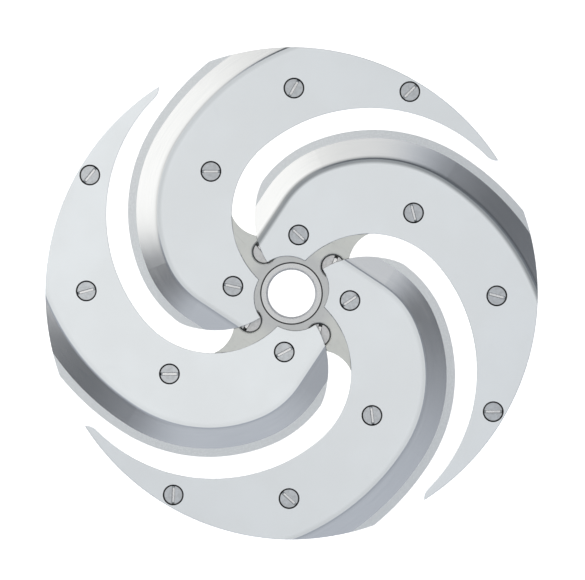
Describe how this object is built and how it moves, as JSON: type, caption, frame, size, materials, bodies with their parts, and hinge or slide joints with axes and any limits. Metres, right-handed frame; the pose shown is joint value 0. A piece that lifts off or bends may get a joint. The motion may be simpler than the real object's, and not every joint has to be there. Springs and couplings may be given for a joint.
{
  "type": "slicing disc",
  "caption": "Round slicing disc for a food processor: sickle blades with hollow-ground edges screwed to curved arms round a bored hub, with slots between them for the slices.",
  "frame": {"origin": "on the bore's axis, in the plane that the rear flange rests on", "axes": "+Z along the shaft, from the rear face to the food side; blade_1's tail points between +X and -Y, its inner end lies above the hub; seen from +Z the disc cuts counterclockwise"},
  "size_m": [0.23, 0.23, 0.0181],
  "materials": {
    "blade_steel": "fine satin, ground bevel",
    "carrier_metal": "matt machined",
    "bush_steel": "fine turned",
    "screw_steel": "worn, mottled",
    "hub_screw_steel": "worn, mottled"
  },
  "bodies": {
    "root": {"carrier": "carrier_metal", "hub_bush": "bush_steel", "blade_1": "blade_steel", "blade_1_root_screw": "screw_steel", "blade_1_middle_screw": "screw_steel", "blade_1_tail_inner_screw": "screw_steel", "blade_1_tail_outer_screw": "screw_steel", "hub_screw_1": "hub_screw_steel", "blade_2": "blade_steel", "blade_2_root_screw": "screw_steel", "blade_2_middle_screw": "screw_steel", "blade_2_tail_inner_screw": "screw_steel", "blade_2_tail_outer_screw": "screw_steel", "hub_screw_2": "hub_screw_steel", "blade_3": "blade_steel", "blade_3_root_screw": "screw_steel", "blade_3_middle_screw": "screw_steel", "blade_3_tail_inner_screw": "screw_steel", "blade_3_tail_outer_screw": "screw_steel", "hub_screw_3": "hub_screw_steel", "blade_4": "blade_steel", "blade_4_root_screw": "screw_steel", "blade_4_middle_screw": "screw_steel", "blade_4_tail_inner_screw": "screw_steel", "blade_4_tail_outer_screw": "screw_steel", "hub_screw_4": "hub_screw_steel"}
  },
  "joints": []
}
